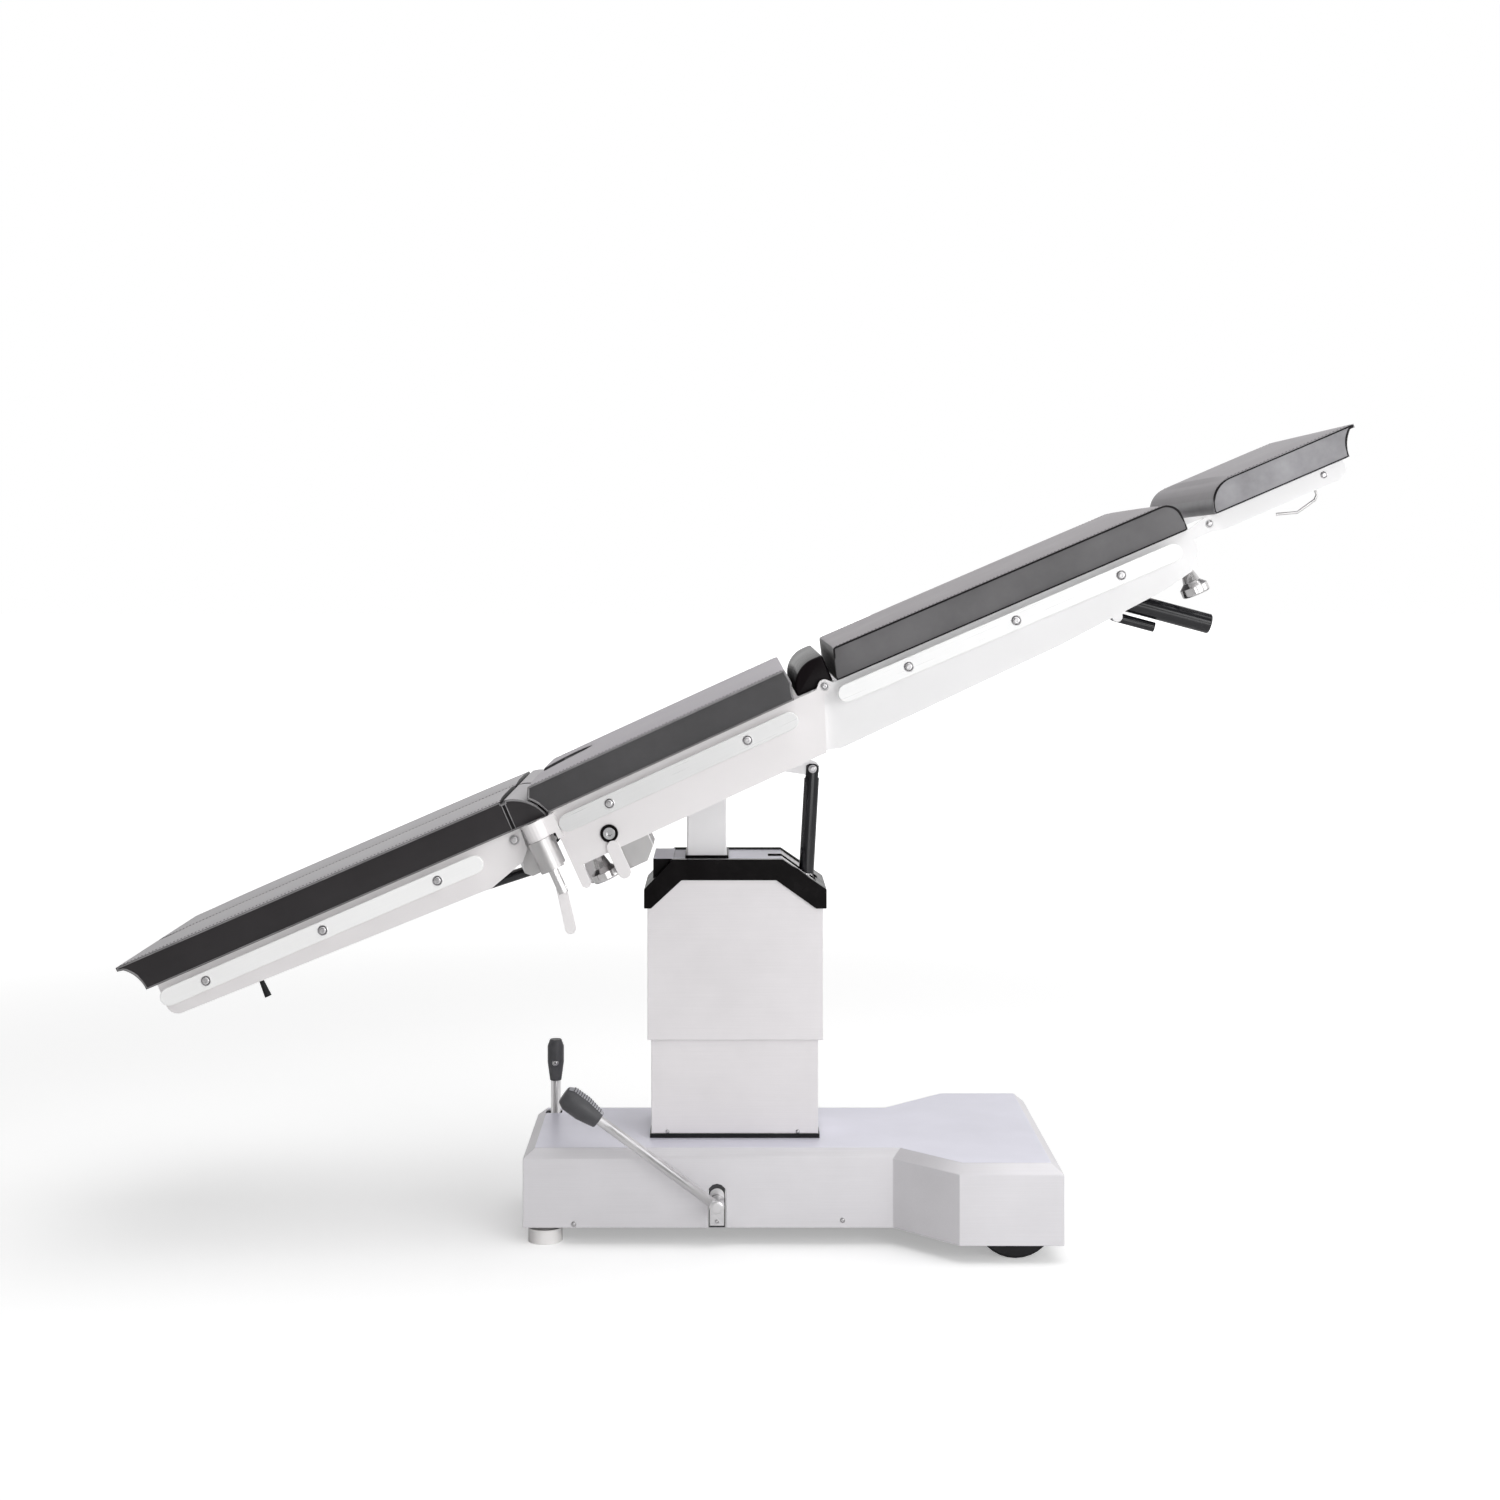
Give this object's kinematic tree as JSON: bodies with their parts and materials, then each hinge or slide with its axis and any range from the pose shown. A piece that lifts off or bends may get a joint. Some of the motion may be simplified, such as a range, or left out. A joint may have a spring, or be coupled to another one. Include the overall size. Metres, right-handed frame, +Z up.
{
  "type": "operating table",
  "caption": "Mobile mechanical operating table with a sectioned tilting top, divided leg boards, side rails, lift column and wheeled base.",
  "frame": {"origin": "on the floor under the middle of the overall box", "axes": "+X towards the head end, +Y away from the side with the pump pedal, +Z up"},
  "size_m": [1.853, 0.5706, 1.2626],
  "materials": {
    "brushed_cover": "satin",
    "polished": "polished",
    "white_coat": "satin paint",
    "rail_steel": "satin",
    "black_gloss": "gloss",
    "black_rubber": "matt",
    "cushion_cover": "soft matt",
    "casting": "satin",
    "foot_grey": "matt",
    "dark_steel": "matt"
  },
  "bodies": {
    "base": {"base_cover": "brushed_cover", "base_chassis": "dark_steel", "column_gasket": "black_rubber", "lower_column_cover": "brushed_cover", "lift_cylinder": "dark_steel"},
    "wheel_near": {"head_wheel_near": "black_rubber"},
    "wheel_far": {"head_wheel_far": "black_rubber"},
    "castor": {"castor_fork": "dark_steel"},
    "castor_roller": {"castor_wheel": "black_rubber"},
    "foot_near": {"lock_foot_near": "foot_grey"},
    "foot_far": {"lock_foot_far": "foot_grey"},
    "brake_pedal": {"brake_lever": "polished", "brake_grip": "black_gloss"},
    "pump_pedal": {"pump_lever": "polished", "pump_grip": "black_gloss"},
    "column": {"upper_column_cover": "brushed_cover", "column_trim": "black_gloss", "lift_ram": "polished", "pivot_post": "white_coat"},
    "saddle_body": {"saddle": "white_coat"},
    "tilt_tube": {"tilt_cylinder": "black_gloss"},
    "tilt_ram": {"tilt_rod": "polished"},
    "seat": {"seat_frame": "white_coat", "seat_rail_near": "rail_steel", "seat_rail_far": "rail_steel", "seat_cushion": "cushion_cover", "tilt_gearbox": "casting"},
    "crank": {"crank_socket": "polished"},
    "paddle": {"lock_paddle": "white_coat"},
    "seat_dial": {"seat_knob": "polished"},
    "back": {"back_frame": "white_coat", "back_rail_near": "rail_steel", "back_rail_far": "rail_steel", "back_cushion": "cushion_cover", "back_bolster": "cushion_cover", "back_grip": "black_gloss"},
    "trigger": {"grip_trigger": "black_gloss"},
    "head_dial": {"head_knob": "polished"},
    "head": {"head_frame": "white_coat", "head_cushion": "cushion_cover"},
    "head_release": {"head_lever": "polished"},
    "hub_near": {"leg_hub_near": "casting"},
    "clamp_near": {"clamp_handle_near": "polished"},
    "leg_near": {"leg_frame_near": "white_coat", "leg_rail_near": "rail_steel", "leg_cushion_near": "cushion_cover"},
    "spring_body_near": {"spring_tube_near": "black_gloss"},
    "spring_ram_near": {"spring_rod_near": "polished"},
    "release_near": {"release_lever_near": "black_rubber"},
    "hub_far": {"leg_hub_far": "casting"},
    "clamp_far": {"clamp_handle_far": "polished"},
    "leg_far": {"leg_frame_far": "white_coat", "leg_rail_far": "rail_steel", "leg_cushion_far": "cushion_cover"},
    "spring_body_far": {"spring_tube_far": "black_gloss"},
    "spring_ram_far": {"spring_rod_far": "polished"},
    "release_far": {"release_lever_far": "black_rubber"}
  },
  "joints": [
    {"name": "column_lift", "type": "slide", "parent": "base", "child": "column", "axis": [0, 0, 1], "range_m": [-0.135, 0.075]},
    {"name": "trendelenburg_tilt", "type": "hinge", "parent": "column", "child": "saddle_body", "pos_m": [-0.04452, 0, 0.73612], "axis": [0, 1, 0], "range_deg": [0, 45]},
    {"name": "tilt_tube_swing", "type": "hinge", "parent": "saddle_body", "child": "tilt_tube", "pos_m": [0.12336, 0, 0.72544], "axis": [0, 1, 0], "range_deg": [-57, 0]},
    {"name": "tilt_ram_slide", "type": "slide", "parent": "tilt_tube", "child": "tilt_ram", "axis": [-0.0568, 0, -0.9984], "range_m": [-0.116, 0]},
    {"name": "lateral_tilt", "type": "hinge", "parent": "saddle_body", "child": "seat", "pos_m": [-0.04452, 0, 0.73612], "axis": [0.9092, 0, 0.4163], "range_deg": [-20, 20]},
    {"name": "back_tilt", "type": "hinge", "parent": "seat", "child": "back", "pos_m": [0.1328, 0, 0.8701], "axis": [0, -1, 0], "range_deg": [-20, 75]},
    {"name": "head_tilt", "type": "hinge", "parent": "back", "child": "head", "pos_m": [0.71064, 0, 1.11352], "axis": [0, -1, 0], "range_deg": [-80, 45]},
    {"name": "wheel_near_spin", "type": "hinge", "parent": "base", "child": "wheel_near", "pos_m": [0.424, -0.19, 0.0615], "axis": [0, 1, 0], "continuous": true},
    {"name": "wheel_far_spin", "type": "hinge", "parent": "base", "child": "wheel_far", "pos_m": [0.424, 0.19, 0.0615], "axis": [0, 1, 0], "continuous": true},
    {"name": "castor_swivel", "type": "hinge", "parent": "base", "child": "castor", "pos_m": [-0.215, 0, 0.1], "axis": [0, 0, 1], "continuous": true},
    {"name": "castor_roll", "type": "hinge", "parent": "castor", "child": "castor_roller", "pos_m": [-0.193, 0, 0.043], "axis": [0, 1, 0], "continuous": true},
    {"name": "brake_press", "type": "hinge", "parent": "base", "child": "brake_pedal", "pos_m": [-0.2965, 0.1, 0.1402], "axis": [0, -1, 0], "range_deg": [0, 20]},
    {"name": "foot_near_lift", "type": "slide", "parent": "base", "child": "foot_near", "axis": [0, 0, 1], "range_m": [0, 0.0101]},
    {"name": "foot_far_lift", "type": "slide", "parent": "base", "child": "foot_far", "axis": [0, 0, 1], "range_m": [0, 0.0101]},
    {"name": "pump_stroke", "type": "hinge", "parent": "base", "child": "pump_pedal", "pos_m": [-0.029, -0.1617, 0.0675], "axis": [0, -1, 0], "range_deg": [0, 25], "stiffness_Nm_per_rad": 5, "springref_deg": -28.65},
    {"name": "crank_turn", "type": "hinge", "parent": "seat", "child": "crank", "pos_m": [-0.18978, -0.2435, 0.64982], "axis": [0, -1, 0], "continuous": true},
    {"name": "paddle_turn", "type": "hinge", "parent": "seat", "child": "paddle", "pos_m": [-0.18377, -0.2435, 0.62948], "axis": [0, -1, 0], "range_deg": [-30, 30]},
    {"name": "seat_knob_turn", "type": "hinge", "parent": "seat", "child": "seat_dial", "pos_m": [-0.20896, -0.213, 0.61245], "axis": [-0.4163, 0, 0.9092], "continuous": true},
    {"name": "head_knob_turn", "type": "hinge", "parent": "back", "child": "head_dial", "pos_m": [0.68109, -0.213, 1.04308], "axis": [-0.3955, 0, 0.9184], "continuous": true},
    {"name": "trigger_squeeze", "type": "hinge", "parent": "back", "child": "trigger", "pos_m": [0.57345, -0.205, 0.97342], "axis": [0, -1, 0], "range_deg": [0, 3.5], "stiffness_Nm_per_rad": 1, "springref_deg": -5.73},
    {"name": "head_lever_pull", "type": "hinge", "parent": "head", "child": "head_release", "pos_m": [0.86955, -0.2175, 1.17433], "axis": [0, -1, 0], "range_deg": [0, 20], "stiffness_Nm_per_rad": 0.1, "springref_deg": -17.19},
    {"name": "leg_swing_near", "type": "hinge", "parent": "seat", "child": "hub_near", "pos_m": [-0.30454, -0.2668, 0.66987], "axis": [-0.4163, 0, 0.9092], "range_deg": [0, 90]},
    {"name": "leg_pitch_near", "type": "hinge", "parent": "hub_near", "child": "leg_near", "pos_m": [-0.33152, -0.2123, 0.63992], "axis": [0, -1, 0], "range_deg": [-15, 60]},
    {"name": "spring_swing_near", "type": "hinge", "parent": "hub_near", "child": "spring_body_near", "pos_m": [-0.30469, -0.195, 0.59051], "axis": [0, -1, 0], "range_deg": [-16, 64]},
    {"name": "spring_slide_near", "type": "slide", "parent": "spring_body_near", "child": "spring_ram_near", "axis": [-0.95, 0, -0.3121], "range_m": [-0.055, 0.015]},
    {"name": "clamp_turn_near", "type": "hinge", "parent": "hub_near", "child": "clamp_near", "pos_m": [-0.26291, -0.2668, 0.57895], "axis": [-0.4163, 0, 0.9092], "range_deg": [-60, 60]},
    {"name": "release_pull_near", "type": "hinge", "parent": "leg_near", "child": "release_near", "pos_m": [-0.72293, -0.226, 0.44657], "axis": [0, -1, 0], "range_deg": [0, 20], "stiffness_Nm_per_rad": 0.1, "springref_deg": -17.19},
    {"name": "leg_swing_far", "type": "hinge", "parent": "seat", "child": "hub_far", "pos_m": [-0.30454, 0.2668, 0.66987], "axis": [0.4163, 0, -0.9092], "range_deg": [0, 90]},
    {"name": "leg_pitch_far", "type": "hinge", "parent": "hub_far", "child": "leg_far", "pos_m": [-0.33152, 0.2123, 0.63992], "axis": [0, -1, 0], "range_deg": [-15, 60]},
    {"name": "spring_swing_far", "type": "hinge", "parent": "hub_far", "child": "spring_body_far", "pos_m": [-0.30469, 0.195, 0.59051], "axis": [0, -1, 0], "range_deg": [-16, 64]},
    {"name": "spring_slide_far", "type": "slide", "parent": "spring_body_far", "child": "spring_ram_far", "axis": [-0.95, 0, -0.3121], "range_m": [-0.055, 0.015]},
    {"name": "clamp_turn_far", "type": "hinge", "parent": "hub_far", "child": "clamp_far", "pos_m": [-0.26291, 0.2668, 0.57895], "axis": [0.4163, 0, -0.9092], "range_deg": [-60, 60]},
    {"name": "release_pull_far", "type": "hinge", "parent": "leg_far", "child": "release_far", "pos_m": [-0.72293, 0.226, 0.44657], "axis": [0, -1, 0], "range_deg": [0, 20], "stiffness_Nm_per_rad": 0.1, "springref_deg": -17.19}
  ],
  "couplings": [
    {"joint": "tilt_tube_swing", "follows": "trendelenburg_tilt", "ratio": -1.25},
    {"joint": "tilt_ram_slide", "follows": "trendelenburg_tilt", "m_per_rad": -0.146},
    {"joint": "foot_near_lift", "follows": "brake_press", "m_per_rad": 0.02865},
    {"joint": "foot_far_lift", "follows": "brake_press", "m_per_rad": 0.02865},
    {"joint": "spring_swing_near", "follows": "leg_pitch_near", "ratio": 1.05},
    {"joint": "spring_slide_near", "follows": "leg_pitch_near", "m_per_rad": -0.0516},
    {"joint": "spring_swing_far", "follows": "leg_pitch_far", "ratio": 1.05},
    {"joint": "spring_slide_far", "follows": "leg_pitch_far", "m_per_rad": -0.0516}
  ]
}
